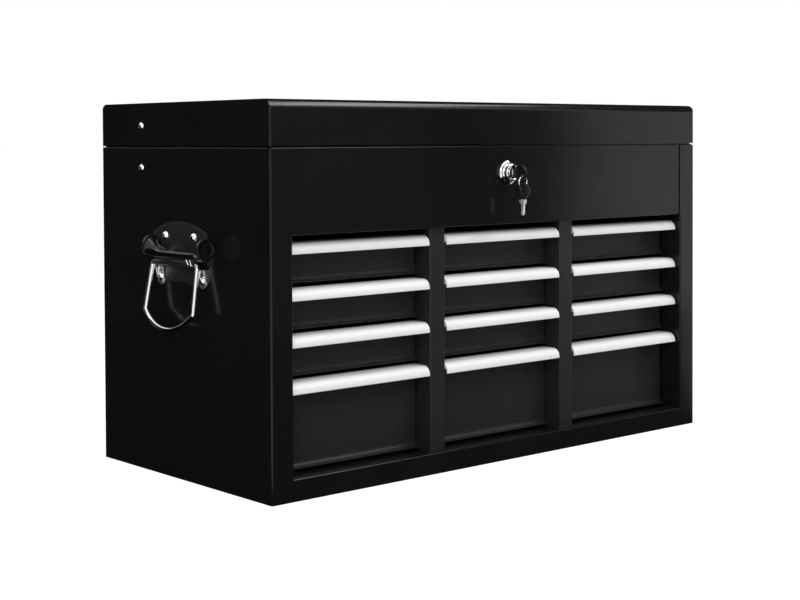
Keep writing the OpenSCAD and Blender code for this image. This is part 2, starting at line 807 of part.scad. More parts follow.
// Plate with a rolled barrel that carries the cross bar of the bail. The roll is open below,
// by less than the thickness of the bar.
module handle_plate() {
    slot_from = 28;
    slot_to = 105;
    color(paint_black) difference() {
        union() {
            translate([-side_x - plate_t, 0, 0]) rotate([90, 0, 90]) linear_extrude(plate_t)
                plate_outline();
            translate([-side_x - pivot_out, 0, pivot_z])
                rod_y(-leg_top + 4, leg_top - 4, roll_r);
            box([-side_x - pivot_out, -leg_top + 4, pivot_z + roll_r - sheet_t],
                [-side_x, leg_top - 4, pivot_z + roll_r]);
        }
        translate([-side_x - pivot_out, 0, pivot_z])
            rod_y(-leg_top, leg_top, wire_r + pin_play);
        translate([-side_x - pivot_out, 0, pivot_z]) rotate([90, 0, 0])
            linear_extrude(2 * leg_top, center = true)
                polygon(concat([[0, 0]], [for (a = [slot_from, (slot_from + slot_to) / 2, slot_to])
                    2 * roll_r * [-cos(a), -sin(a)]]));
        for (p = plate_rivets) translate([-side_x - 4, p[0], p[1]])
            rod_x(0, 5, rivet_shank_r + fit_gap);
    }
}

module handle_plate_left() { handle_plate(); }
module handle_plate_right() { mirror([1, 0, 0]) handle_plate(); }

// Chrome channels beside the tongue, with walls that are deepest at the pivot. The bail has
// slid a little towards the back.
module handle_brackets() {
    half_w = 6.5;
    wall_t = bracket_t;
    depth_top = 4.4;
    depth_foot = 2.2;
    top = pivot_z - roll_r - 0.3;
    foot = pivot_z - bracket_drop + half_w;
    color(chrome) for (p = bracket_rivets) translate([-side_x, p[0], 0]) difference() {
        union() {
            box([-wall_t, -half_w, foot], [0, half_w, top]);
            translate([0, 0, foot]) rod_x(-wall_t, 0, half_w);
            for (y = [half_w, -half_w + wall_t])
                translate([0, y, 0]) rotate([90, 0, 0]) linear_extrude(wall_t)
                    polygon([[0, top], [-depth_top, top], [-depth_foot, foot], [0, foot]]);
        }
        translate([-2, 0, p[1]]) rod_x(0, 5, rivet_shank_r + fit_gap);
    }
}

module handle_brackets_left() { handle_brackets(); }
module handle_brackets_right() { mirror([1, 0, 0]) handle_brackets(); }

// Rivets of both handles: two in the arched plate and one in each bracket
module handle_rivets() {
    color(chrome) both_sides() {
        for (p = plate_rivets) translate([-side_x - plate_t, p[0], p[1]]) dome(rivet_r, dome_h);
        for (p = bracket_rivets) translate([-side_x - bracket_t, p[0], p[1]]) dome(rivet_r, dome_h);
        for (p = concat(plate_rivets, bracket_rivets)) translate([0, p[0], p[1]]) {
            rod_x(-side_x - min(bracket_t, plate_t), -inner_x + 0.8, rivet_shank_r);
            rod_x(-inner_x, -inner_x + 0.8, 3.5);
        }
    }
}

// Black hand grip: a low bar that flares up to a round disc at each end
module handle_grip() {
    disc_t = 3.5;
    flare = [[10, 0.15], [18, 0.45], [24, 1]];
    bar_z = pivot_z + grip_rise - grip_end_r + grip_bar_r;
    end_z = pivot_z + grip_rise;
    half = grip_l / 2;
    color(plastic_black) translate([-side_x - grip_out, -grip_forward, 0]) {
        translate([0, 0, bar_z]) rod_y(-half + 24, half - 24, grip_bar_r);
        for (s = [-1, 1]) scale([1, s, 1]) {
            for (i = [0:2]) {
                a = i == 0 ? [0, 0] : flare[i - 1];
                b = flare[i];
                hull() for (p = [a, b]) {
                    r = grip_bar_r + (grip_end_r - 1.5 - grip_bar_r) * p[1];
                    translate([0, half - disc_t - 24 + p[0], bar_z + (r - grip_bar_r)])
                        rod_y(0, 0.4, r, $fn = 32);
                }
            }
            translate([0, 0, end_z]) {
                rod_y(half - disc_t, half - 0.8, grip_end_r);
                rod_y(half - 0.8, half, grip_end_r - 0.8);
            }
        }
    }
}

module handle_grip_left() { handle_grip(); }
module handle_grip_right() { mirror([1, 0, 0]) handle_grip(); }

// Round wire from point a to point b
module wire(a, b, r) {
    run = b - a;
    translate(a) rotate([0, acos(run[2] / norm(run)), atan2(run[1], run[0])])
        cylinder(h = norm(run), r = r);
}

// Wire arms that carry the grip, from the plate to the flares at the grip's two ends, and a
// bent wire from the grip's bar to the rolled barrel at the front
module handle_hangers() {
    plate_x = -side_x - plate_t;
    grip_x = -side_x - grip_out;
    rear_y = grip_l / 2 - grip_forward - 11;
    fore_y = -grip_l / 2 - grip_forward + 29;
    arm_r = 1.5;
    hook_r = 1.1;
    hook_x = -side_x - pivot_out - roll_r - hook_r + 0.2;
    hook = [[grip_x + 1.2, fore_y + 8.5, pivot_z + 7], [hook_x, fore_y + 7, pivot_z + 0.4],
            [hook_x, fore_y + 3.2, pivot_z + 0.4], [grip_x + 1.2, fore_y + 1.7, pivot_z + 7]];
    color(chrome) both_sides() {
        wire([plate_x, rear_y, pivot_z + 9.5], [grip_x + 2.5, rear_y, pivot_z + 16.5], arm_r);
        wire([plate_x, fore_y + 4, pivot_z + 5.5], [grip_x + 3, fore_y - 3, pivot_z + 8.5], arm_r);
        for (i = [0:2]) wire(hook[i], hook[i + 1], hook_r);
        for (i = [1, 2]) translate(hook[i]) sphere(hook_r + 0.1, $fn = 24);
    }
}

// Bail of round wire: a cross bar in the rolled barrel, two legs and a curved foot
module bail() {
    chord = leg_foot;
    arc_r = (chord * chord + bow_drop * bow_drop) / (2 * bow_drop);
    half_angle = asin(chord / arc_r);
    lean = atan2(leg_foot - leg_top, leg_l);
    leg = sqrt(leg_l * leg_l + pow(leg_foot - leg_top, 2));
    color(chrome) translate([-side_x - pivot_out, 0, pivot_z]) rotate([0, hang_angle, 0]) {
        rod_y(-leg_top, leg_top, wire_r);
        for (s = [-1, 1]) {
            translate([0, s * leg_top, 0]) {
                sphere(knob_r, $fn = 32);
                rotate([180 + s * lean, 0, 0]) cylinder(h = leg, r = wire_r);
            }
            translate([0, s * leg_foot, -leg_l]) sphere(knob_r, $fn = 32);
        }
        translate([0, 0, arc_r - leg_l - bow_drop]) rotate([0, 90, 0])
            rotate([0, 0, -half_angle]) rotate_extrude(angle = 2 * half_angle, $fn = 96)
                translate([arc_r, 0]) circle(wire_r, $fn = 24);
    }
}

module bail_left() { bail(); }
module bail_right() { mirror([1, 0, 0]) bail(); }

// ---------------------------------------------------------------- nodes

case_shell();
bottom_pan();
front_panel();
divider_left();
divider_right();
till_floor();
runners_left_column();
runners_middle_column();
runners_right_column();
hinge_case_leaf();
hinge_pin();
hinge_lid_leaf();
lid();
lid_catch();
stay_case_rivets();
stay_lid_rivets();
stay_lower_links();
stay_upper_links();
lock_body();
lock_nut();
lock_plug();
lock_cam();
key_in_lock();
key_ring();
spare_key();
handle_plate_left();
handle_plate_right();
handle_brackets_left();
handle_brackets_right();
handle_grip_left();
handle_grip_right();
handle_hangers();
handle_rivets();
bail_left();
bail_right();
for (c = [0:cols - 1], r = [0:rows - 1]) {
    drawer(c, r);
    pull(c, r);
}
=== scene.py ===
import json
import math

import bmesh
import bpy
from mathutils import Matrix, Vector

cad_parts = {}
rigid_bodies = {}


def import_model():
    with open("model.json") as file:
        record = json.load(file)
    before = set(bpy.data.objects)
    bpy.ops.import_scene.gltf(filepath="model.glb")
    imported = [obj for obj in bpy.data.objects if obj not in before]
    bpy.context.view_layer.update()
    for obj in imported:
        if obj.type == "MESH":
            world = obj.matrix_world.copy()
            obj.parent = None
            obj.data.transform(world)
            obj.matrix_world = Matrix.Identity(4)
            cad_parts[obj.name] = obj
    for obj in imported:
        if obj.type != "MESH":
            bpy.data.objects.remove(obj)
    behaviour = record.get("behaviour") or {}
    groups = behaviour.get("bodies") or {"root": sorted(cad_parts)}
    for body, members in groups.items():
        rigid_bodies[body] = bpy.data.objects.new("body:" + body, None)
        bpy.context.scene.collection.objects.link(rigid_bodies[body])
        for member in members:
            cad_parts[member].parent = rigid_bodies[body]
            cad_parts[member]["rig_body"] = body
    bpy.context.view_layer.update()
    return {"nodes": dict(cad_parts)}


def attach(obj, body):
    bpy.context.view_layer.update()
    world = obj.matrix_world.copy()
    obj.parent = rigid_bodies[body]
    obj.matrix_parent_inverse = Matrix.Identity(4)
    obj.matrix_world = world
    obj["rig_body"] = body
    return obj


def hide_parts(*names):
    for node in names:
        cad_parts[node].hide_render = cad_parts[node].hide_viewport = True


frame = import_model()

# Sizes are written in millimetres and turned into metres with MM
MM = 0.001

# ------------------------------------------------------------------ materials

# The part of a noise that is spread over a whole ramp
RAMP_START, RAMP_END = 0.3, 0.7


def new_material(name):
    """A material with its node tree and its main shader."""
    material = bpy.data.materials.new(name)
    material.use_nodes = True
    tree = material.node_tree
    shader = next(n for n in tree.nodes if n.type == "BSDF_PRINCIPLED")
    return material, tree, shader


def noise(tree, size, detail, stretch=(1, 1, 1)):
    """A noise of features about size metres across, longer along an axis with a stretch over 1."""
    coords = tree.nodes.new("ShaderNodeTexCoord")
    mapping = tree.nodes.new("ShaderNodeMapping")
    mapping.inputs["Scale"].default_value = [1 / (size * s) for s in stretch]
    texture = tree.nodes.new("ShaderNodeTexNoise")
    texture.inputs["Scale"].default_value = 1.0
    texture.inputs["Detail"].default_value = detail
    tree.links.new(coords.outputs["Object"], mapping.inputs["Vector"])
    tree.links.new(mapping.outputs["Vector"], texture.inputs["Vector"])
    return texture.outputs["Fac"]


def ramp(tree, factor, low, high):
    """Turns a factor into a colour or a grey between low and high."""
    node = tree.nodes.new("ShaderNodeValToRGB")
    stops = zip(node.color_ramp.elements, (RAMP_START, RAMP_END), (low, high))
    for element, position, value in stops:
        element.position = position
        element.color = (*value, 1) if isinstance(value, tuple) else (value, value, value, 1)
    tree.links.new(factor, node.inputs["Fac"])
    return node.outputs["Color"]


def bump(tree, shader, height, depth):
    """Raises the surface by up to depth metres where height is 1."""
    node = tree.nodes.new("ShaderNodeBump")
    node.inputs["Strength"].default_value = 1.0
    node.inputs["Distance"].default_value = depth
    tree.links.new(height, node.inputs["Height"])
    tree.links.new(node.outputs["Normal"], shader.inputs["Normal"])


def enamel(name, low, high, roughness, specular, peel):
    """Black stove enamel: slight tone changes, an uneven gloss and fine orange peel."""
    material, tree, shader = new_material(name)
    tone, gloss = noise(tree, size=0.09, detail=3), noise(tree, size=0.03, detail=4)
    tree.links.new(ramp(tree, tone, low, high), shader.inputs["Base Color"])
    tree.links.new(ramp(tree, gloss, *roughness), shader.inputs["Roughness"])
    shader.inputs["Specular IOR Level"].default_value = specular
    bump(tree, shader, noise(tree, size=0.0022, detail=1), peel)
    return material


def bright_metal(name, low, high, roughness, grain, depth, stretch=(1, 1, 1), metallic=1.0):
    """Bare or plated metal, with a grain that can run along one axis."""
    material, tree, shader = new_material(name)
    shader.inputs["Metallic"].default_value = metallic
    tone = noise(tree, size=0.02, detail=3, stretch=stretch)
    fine = noise(tree, size=grain, detail=3, stretch=stretch)
    tree.links.new(ramp(tree, tone, low, high), shader.inputs["Base Color"])
    tree.links.new(ramp(tree, fine, *roughness), shader.inputs["Roughness"])
    bump(tree, shader, fine, depth)
    return material


def moulded_plastic(name, roughness, specular):
    """Black plastic with a faint moulded grain."""
    material, tree, shader = new_material(name)
    tone, gloss = noise(tree, size=0.012, detail=3), noise(tree, size=0.004, detail=4)
    tree.links.new(ramp(tree, tone, 0.0025, 0.005), shader.inputs["Base Color"])
    tree.links.new(ramp(tree, gloss, *roughness), shader.inputs["Roughness"])
    shader.inputs["Specular IOR Level"].default_value = specular
    bump(tree, shader, noise(tree, size=0.0008, detail=2), depth=0.00001)
    return material


# The six slots of the CAD, and four finishes more: the paler plate enamel, plated_steel, nickel,
# key_plastic; the paler enamel is a lit copy of the black one, painted light
MATERIALS = {
    "black_paint": enamel(
        "black_enamel", low=(0.0066, 0.0066, 0.0069), high=(0.0082, 0.0082, 0.0086),
        roughness=(0.15, 0.19), specular=0.26, peel=0.000009),
    "drawer_paint": enamel(
        "drawer_enamel", low=(0.0215, 0.0215, 0.0220), high=(0.0255, 0.0255, 0.0260),
        roughness=(0.36, 0.44), specular=0.18, peel=0.000014),
    # A paler copy of the black enamel, not a paint of their own: its extra lightness is painted
    # sheen on the handle plates and painted light on the divider posts
    "plate_paint": enamel(
        "plate_enamel", low=(0.0170, 0.0170, 0.0175), high=(0.0205, 0.0205, 0.0210),
        roughness=(0.30, 0.38), specular=0.30, peel=0.000012),
    "satin_aluminium": bright_metal(
        "satin_aluminium", low=(0.82, 0.825, 0.83), high=(0.87, 0.873, 0.876),
        roughness=(0.55, 0.65), grain=0.0007, depth=0.000004, stretch=(60, 1, 1), metallic=0.12),
    "chrome": bright_metal(
        "chrome", low=(0.80, 0.81, 0.82), high=(0.88, 0.885, 0.89),
        roughness=(0.035, 0.07), grain=0.003, depth=0.000001),
    "plated_steel": bright_metal(
        "plated_steel", low=(0.80, 0.80, 0.80), high=(0.88, 0.88, 0.88),
        roughness=(0.14, 0.20), grain=0.0008, depth=0.000003, stretch=(1, 1, 6), metallic=0.9),
    "nickel": bright_metal(
        "nickel", low=(0.74, 0.73, 0.71), high=(0.84, 0.83, 0.81),
        roughness=(0.22, 0.32), grain=0.0006, depth=0.000003, stretch=(1, 1, 8)),
    "zinc_plate": bright_metal(
        "zinc_plate", low=(0.50, 0.52, 0.53), high=(0.68, 0.69, 0.68),
        roughness=(0.28, 0.42), grain=0.004, depth=0.000006),
    "black_plastic": moulded_plastic("black_plastic", roughness=(0.13, 0.20), specular=0.5),
    "key_plastic": moulded_plastic("key_plastic", roughness=(0.34, 0.44), specular=0.22),
}


def finish_piece(piece, body, slot, *nodes, material=None):
    """Gives a new piece its material, named by the slot unless another is given, and its body, and
    hides the CAD nodes that it stands for.
    """
    piece.data.materials.clear()
    piece.data.materials.append(MATERIALS[material or slot])
    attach(piece, body)
    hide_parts(*nodes)


# ------------------------------------------------------------------ mesh tools

# Distances in metres, angles in degrees
MERGE_DISTANCE = 1e-6
SHARP_ANGLE, LATHE_SHARP_ANGLE = 35, 40
FLAT_ANGLE, BEVEL_ANGLE, BEVEL_SEGMENTS = 0.5, 28, 2
WIRE_SIDES, LOFT_SIDES, LATHE_SIDES = 20, 48, 72
CURVE_SHARE, CURVE_STEPS = 0.45, 8


def make_object(name, bm, sharp_angle=SHARP_ANGLE):
    """Turns a bmesh into a smooth-shaded object with sharp edges past the angle in degrees."""
    bmesh.ops.recalc_face_normals(bm, faces=bm.faces)
    mesh = bpy.data.meshes.new(name)
    bm.to_mesh(mesh)
    bm.free()
    for face in mesh.polygons:
        face.use_smooth = True
    mesh.set_sharp_from_angle(angle=math.radians(sharp_angle))
    piece = bpy.data.objects.new(name, mesh)
    bpy.context.scene.collection.objects.link(piece)
    return piece


def softened(node, width, slot, material):
    """Stands for a CAD node with a copy whose sharp edges are rounded by width metres."""
    source = frame["nodes"][node]
    bm = bmesh.new()
    bm.from_mesh(source.data)
    bmesh.ops.remove_doubles(bm, verts=bm.verts, dist=MERGE_DISTANCE)
    bmesh.ops.dissolve_limit(bm, angle_limit=math.radians(FLAT_ANGLE), verts=bm.verts,
                             edges=bm.edges)
    edges = [e for e in bm.edges if len(e.link_faces) == 2
             and e.calc_face_angle(0) > math.radians(BEVEL_ANGLE)]
    bmesh.ops.bevel(bm, geom=edges, offset=width, segments=BEVEL_SEGMENTS, affect="EDGES",
                    profile=0.5, clamp_overlap=True)
    piece = make_object(node + "_soft", bm)
    finish_piece(piece, source["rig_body"], slot, node, material=material)


def turns(count):
    """The angles of so many points, evenly round a circle."""
    return [2 * math.pi * k / count for k in range(count)]


def circle(u, v, radius, count):
    """So many points round the middle (u, v)."""
    return [(u + radius * math.cos(a), v + radius * math.sin(a)) for a in turns(count)]


def skin(bm, a, b):
    """Adds the faces between two rings with the same number of vertices."""
    count = len(a)
    for k in range(count):
        bm.faces.new((a[k], a[(k + 1) % count], b[(k + 1) % count], b[k]))


def wire_loop(name, points, radius):
    """A round wire along a closed loop of points."""
    bm = bmesh.new()
    rings = []
    normal = None
    befores, afters = points[-1:] + points[:-1], points[1:] + points[:1]
    for before, point, after in zip(befores, points, afters):
        along = (after - before).normalized()
        if normal is None:
            normal = along.orthogonal()
        normal = (normal - along * normal.dot(along)).normalized()
        side = along.cross(normal)
        rings.append([bm.verts.new(point + (normal * math.cos(a) + side * math.sin(a)) * radius)
                      for a in turns(WIRE_SIDES)])
    for a, b in zip(rings, rings[1:] + rings[:1]):
        skin(bm, a, b)
    return make_object(name, bm)


def rounded_path(corners, radius):
    """Points along corners with each inner corner turned on a curve."""
    path = [corners[0]]
    for before, corner, after in zip(corners, corners[1:], corners[2:]):
        a, b = (before - corner).normalized(), (after - corner).normalized()
        shorter = min((before - corner).length, (after - corner).length)
        reach = min(radius, shorter * CURVE_SHARE)
        start, end = corner + a * reach, corner + b * reach
        for t in (k / CURVE_STEPS for k in range(CURVE_STEPS + 1)):
            path.append(start * (1 - t) ** 2 + corner * 2 * t * (1 - t) + end * t ** 2)
    path.append(corners[-1])
    return path


def rings_across_y(bm, rings, sides):
    """Adds circles of vertices across Y, one for each (y, x, z, radius)."""
    return [[bm.verts.new((x + r * math.cos(a), y, z + r * math.sin(a))) for a in turns(sides)]
            for y, x, z, r in rings]


def ring_loft(name, rings):
    """A body with flat ends through circles across Y: each ring is (y, x, z, radius)."""
    bm = bmesh.new()
    loops = rings_across_y(bm, rings, LOFT_SIDES)
    for a, b in zip(loops, loops[1:]):
        skin(bm, a, b)
    bm.faces.new(loops[0])
    bm.faces.new(loops[-1])
    return make_object(name, bm)


def lathe(name, profile, x, z):
    """A closed profile of (y, radius) turned about an axis along Y."""
    bm = bmesh.new()
    loops = rings_across_y(bm, [(y, x, z, r) for y, r in profile], LATHE_SIDES)
    for a, b in zip(loops, loops[1:] + loops[:1]):
        skin(bm, a, b)
    return make_object(name, bm, LATHE_SHARP_ANGLE)


def cut_sheet(name, outlines, thickness, edge):
    """A flat piece in X and Y with rounded edges: the first outline less the holes after it."""
    curve = bpy.data.curves.new(name, "CURVE")
    curve.dimensions = "2D"
    curve.fill_mode = "BOTH"
    curve.extrude = thickness / 2 - edge
    curve.bevel_depth = edge
    curve.bevel_resolution = 2
    curve.offset = -edge
    for outline in outlines:
        spline = curve.splines.new("POLY")
        spline.points.add(len(outline) - 1)
        for point, (u, v) in zip(spline.points, outline):
            point.co = (u, v, 0, 1)
        spline.use_cyclic_u = True
    holder = bpy.data.objects.new(name, curve)
    bpy.context.scene.collection.objects.link(holder)
    evaluated = holder.evaluated_get(bpy.context.evaluated_depsgraph_get())
    bm = bmesh.new()
    bm.from_mesh(bpy.data.meshes.new_from_object(evaluated))
    bpy.data.objects.remove(holder)
    bmesh.ops.remove_doubles(bm, verts=bm.verts, dist=MERGE_DISTANCE)
    return make_object(name, bm)


# ------------------------------------------------------------------ CAD nodes

BRACKET_EDGE, PLATE_EDGE = 0.45, 0.35

for node in frame["nodes"].values():
    for material_slot in node.material_slots:
        material_slot.material = MATERIALS[material_slot.material.name.split(".")[0]]

for side in ("left", "right"):
    # The divider posts and the handle plates take the paler enamel, whose lightness is painted
    # light
    frame["nodes"]["divider_" + side].material_slots[0].material = MATERIALS["plate_paint"]
    softened("handle_brackets_" + side, BRACKET_EDGE * MM, "chrome", "plated_steel")
    softened("handle_plate_" + side, PLATE_EDGE * MM, "black_paint", "plate_paint")

# ------------------------------------------------------------------ bails

# Side of the case, pivot of the bail from it and its height, and the angle at which it hangs
SIDE_X, PIVOT_OUT, PIVOT_Z, HANG_ANGLE = 305.0, 6.8, 213.0, 9.0
# Wire radius, half widths at the top and foot of the legs, leg length and drop of the foot
WIRE_R, LEG_TOP, LEG_FOOT, LEG_L, BOW_DROP = 2.2, 39.5, 42.4, 47.0, 17.5
CORNER_R, BOW_STEPS = 3.4, 24


def bail(side, sign):
    """The chrome wire of one handle: cross bar, legs and curved foot in one bent loop."""
    bow_r = (LEG_FOOT ** 2 + BOW_DROP ** 2) / (2 * BOW_DROP)
    half_angle = math.asin(LEG_FOOT / bow_r)
    flat = [(0, 0), (LEG_TOP, 0)]
    for k in range(BOW_STEPS + 1):
        a = half_angle * (1 - 2 * k / BOW_STEPS)
        flat.append((bow_r * math.sin(a), bow_r * (1 - math.cos(a)) - LEG_L - BOW_DROP))
    flat += [(-LEG_TOP, 0), (0, 0)]
    hang = math.radians(HANG_ANGLE)
    corners = [Vector((sign * (SIDE_X + PIVOT_OUT - z * math.sin(hang)), y,
                       PIVOT_Z + z * math.cos(hang))) * MM for y, z in flat]
    path = rounded_path(corners, CORNER_R * MM)[:-1]
    piece = wire_loop("bail_wire_" + side, path, WIRE_R * MM)
    finish_piece(piece, "bail_" + side, "chrome", "bail_" + side)


# ------------------------------------------------------------------ grips

# Radius of the discs and of the bar, and the length
GRIP_R, GRIP_BAR_R, GRIP_L = 11.0, 3.7, 98.0
# Place of the grip: forward of the bail, above its pivot and out from the side of the case
GRIP_FORWARD, GRIP_RISE, GRIP_OUT = 18.0, 17.0, 14.5
GRIP_DISC_T, GRIP_RIM = 3.5, 1.5
FLARE_L, FLARE_POWER, FLARE_STEPS = 24.0, 2.4, 14
# A disc from the middle of its end: depth below the end, and share of the radius
DISC_PROFILE = [(0.0, 0.0), (0.5, 0.55), (0.5, 0.62), (0.0, 0.72), (0.0, 0.90), (0.25, 0.97),
                (0.9, 1.0), (GRIP_DISC_T - 0.9, 1.0), (GRIP_DISC_T - 0.2, 0.96)]
SMALLEST_RING = 0.05


def grip(side, sign):
    """The black hand grip: a low bar with flares that end in round discs with dished faces."""
    bar_z = PIVOT_Z + GRIP_RISE - GRIP_R + GRIP_BAR_R
    end_z = PIVOT_Z + GRIP_RISE
    half = GRIP_L / 2
    flare_r = GRIP_R - GRIP_RIM - GRIP_BAR_R
    half_rings = [(half - depth, end_z, max(GRIP_R * share, SMALLEST_RING))
                  for depth, share in DISC_PROFILE]
    for k in range(FLARE_STEPS + 1):
        t = 1 - k / FLARE_STEPS
        r = GRIP_BAR_R + flare_r * t ** FLARE_POWER
        half_rings.append((half - GRIP_DISC_T - FLARE_L * (1 - t), bar_z + r - GRIP_BAR_R, r))
    rings = half_rings + [(-y, z, r) for y, z, r in reversed(half_rings)]
    x = sign * (SIDE_X + GRIP_OUT) * MM
    piece = ring_loft("grip_" + side,
                      [((y - GRIP_FORWARD) * MM, x, z * MM, r * MM) for y, z, r in rings])
    finish_piece(piece, "cabinet", "black_plastic", "handle_grip_" + side)


for side, sign in (("left", -1), ("right", 1)):
    bail(side, sign)
    grip(side, sign)

# ------------------------------------------------------------------ lock and keys

LOCK_Z, PANEL_Y, LOCK_LENGTH, LOCK_BORE_R = 298.5, -147.5, 16.0, 5.55
# The barrel from its back to its front: distance in front of the panel, and radius
LOCK_PROFILE = [
    (-LOCK_LENGTH, LOCK_BORE_R), (-LOCK_LENGTH, 7.6), (0.4 - LOCK_LENGTH, 8.0), (0.0, 8.0),
    (0.0, 12.3), (0.25, 12.5), (0.7, 12.45), (1.2, 12.1), (1.7, 11.4), (2.1, 10.5), (2.3, 9.7),
    (2.2, 9.3), (2.0, 9.0), (2.4, 8.6), (3.0, 8.6), (3.4, 9.0), (6.8, 9.0), (7.5, 8.8),
    (7.9, 8.3), (8.0, 7.8), (8.0, 6.9), (7.8, 6.6), (7.3, 6.5), (7.2, 6.2), (7.2, LOCK_BORE_R)]
barrel = [((PANEL_Y - out) * MM, r * MM) for out, r in LOCK_PROFILE]
finish_piece(lathe("lock_barrel", barrel, 0, LOCK_Z * MM), "cabinet", "chrome", "lock_body")

# Keys are drawn with u along the key, from the head's middle to the tip, and v across it
HEAD_R, HEAD_T, HEAD_HOLE_R, HEAD_EDGE = 8.0, 3.5, 2.2, 0.7
COLLAR_W, COLLAR_L, COLLAR_CORNER = 9.0, 3.4, 0.8
SHOULDER_W, BLADE_W, BLADE_T, BLADE_EDGE = 7.4, 4.4, 2.0, 0.25
TIP_L, TIP_W, TIP_CORNER = 1.8, 1.8, 0.3
HEAD_SIDES, HOLE_SIDES = 64, 24
# The cuts of the blade: share of its length and depth; on the other edge they are half as deep
CUTS = [(0.14, 0.0), (0.22, 0.5), (0.29, 0.5), (0.37, 0.1), (0.45, 0.8), (0.52, 0.8),
        (0.60, 0.2), (0.67, 0.6), (0.74, 0.6), (0.82, 0.1)]


def in_metres(outline):
    """An outline in millimetres turned into metres."""
    return [(u * MM, v * MM) for u, v in outline]


def key(name, body, place, hole, neck, shoulder, tip, node):
    """A key with a moulded head and a cut blade; place takes its u and v into the frame.

    The blade leaves the head at neck, its shoulder ends at shoulder and its point is at tip."""
    around = [(u, v) for u, v in circle(0, 0, HEAD_R, HEAD_SIDES)
              if u <= 0 or abs(v) >= COLLAR_W / 2]
    around.sort(key=lambda p: math.atan2(p[1], p[0]) % (2 * math.pi))
    half_c, collar_end = COLLAR_W / 2 - COLLAR_CORNER, neck + COLLAR_L
    collar = [(collar_end, -half_c), (collar_end, half_c)]
    head = cut_sheet(name + "_head", [in_metres(collar + around),
                                      in_metres(circle(*hole, HEAD_HOLE_R, HOLE_SIDES))],
                     HEAD_T * MM, HEAD_EDGE * MM)
    half_w, half_s, half_t = BLADE_W / 2, SHOULDER_W / 2, TIP_W / 2
    upper = [(shoulder + (tip - shoulder) * t, half_w - depth) for t, depth in CUTS]
    lower = [(u, -(v + half_w) / 2) for u, v in reversed(upper)]
    tip_u, tip_v = tip - TIP_L, half_w - TIP_CORNER
    outline = ([(neck, -half_s), (neck, half_s), (shoulder, half_s), (shoulder, half_w)] + upper
               + [(tip_u, tip_v), (tip, half_t), (tip, -half_t), (tip_u, -tip_v)]
               + lower + [(shoulder, -half_w), (shoulder, -half_s)])
    blade = cut_sheet(name + "_blade", [in_metres(reversed(outline))],
                      BLADE_T * MM, BLADE_EDGE * MM)
    for piece in (head, blade):
        piece.data.transform(place)
    finish_piece(head, body, "black_plastic", node, material="key_plastic")
    finish_piece(blade, body, "chrome", node, material="nickel")


def placed(u_axis, v_axis, at):
    """The matrix that lays u and v along two axes from a point in millimetres."""
    w_axis = u_axis.cross(v_axis)
    return Matrix((
        (u_axis.x, v_axis.x, w_axis.x, at.x * MM),
        (u_axis.y, v_axis.y, w_axis.y, at.y * MM),
        (u_axis.z, v_axis.z, w_axis.z, at.z * MM),
        (0, 0, 0, 1)))


KEY_HOLE_Y, KEY_HOLE_DROP = -169.0, 3.0
TURNED_HEAD_Y, TURNED_TIP = -166.0, 30.5
HUNG_HEAD_Z, HUNG_HOLE_Z, HUNG_TURN, HUNG_TIP = 280.5, 282.2, 16.0, 25.5

key("turned_key", "lock_cylinder",
    placed(Vector((0, 1, 0)), Vector((0, 0, 1)), Vector((0, TURNED_HEAD_Y, LOCK_Z))),
    (KEY_HOLE_Y - TURNED_HEAD_Y, -KEY_HOLE_DROP), HEAD_R - 1.5, HEAD_R + 2.0, TURNED_TIP,
    "key_in_lock")
turn = math.radians(HUNG_TURN)
key("hung_key", "spare_key",
    placed(Vector((0, 0, -1)), Vector((-math.sin(turn), math.cos(turn), 0)),
           Vector((0, KEY_HOLE_Y, HUNG_HEAD_Z))),
    (HUNG_HEAD_Z - HUNG_HOLE_Z, 0), HEAD_R - 2.0, HEAD_R + 5.2, HUNG_TIP, "spare_key")

# ------------------------------------------------------------------ camera

# The photograph's camera, fitted to the edges of the case: focal length and height of the
# principal point in pixels of the image, angles in radians and place in metres
IMAGE_W, IMAGE_H = 800, 600
SENSOR_W = 36.0
FOCAL_PX = 1524.86
CENTRE_Y_PX = 180.0
YAW, PITCH, ROLL = 0.71645, -0.02659, -0.00444
CAMERA_AT = Vector((-1.12124, -1.26478, 0.33328))

forward = Vector((math.sin(YAW) * math.cos(PITCH), math.cos(YAW) * math.cos(PITCH),
                  math.sin(PITCH)))
level = Vector((math.cos(YAW), -math.sin(YAW), 0))
upright = level.cross(forward)
right = level * math.cos(ROLL) + upright * math.sin(ROLL)
up = upright * math.cos(ROLL) - level * math.sin(ROLL)

camera_data = bpy.data.cameras.new("camera")
camera_data.sensor_width = SENSOR_W
camera_data.lens = FOCAL_PX / IMAGE_W * SENSOR_W
camera_data.shift_y = -(IMAGE_H / 2 - CENTRE_Y_PX) / IMAGE_W
camera_data.clip_start, camera_data.clip_end = 0.05, 100.0
camera = bpy.data.objects.new("camera", camera_data)
camera.matrix_world = Matrix((
    (right.x, up.x, -forward.x, CAMERA_AT.x),
    (right.y, up.y, -forward.y, CAMERA_AT.y),
    (right.z, up.z, -forward.z, CAMERA_AT.z),
    (0, 0, 0, 1)))
bpy.context.scene.collection.objects.link(camera)
bpy.context.scene.camera = camera

# ------------------------------------------------------------------ studio

# Heights and half width in metres
CARD_Z, FLOOR_Z, FLOOR_HALF = 0.0002, -0.0003, 40.0
WORLD_SHADE, FLOOR_SHADE, FLOOR_GLOW, FLOOR_PLAIN = 0.45, 0.25, 0.92, 0.7


def seen_ray(tree):
    """1 for rays from the camera or from a gloss or glass surface, else 0."""
    path = tree.nodes.new("ShaderNodeLightPath")
    value = path.outputs["Is Camera Ray"]
    for other in ("Is Glossy Ray", "Is Transmission Ray"):
        either = tree.nodes.new("ShaderNodeMath")
        either.operation = "MAXIMUM"
        tree.links.new(value, either.inputs[0])
        tree.links.new(path.outputs[other], either.inputs[1])
        value = either.outputs[0]
    return value


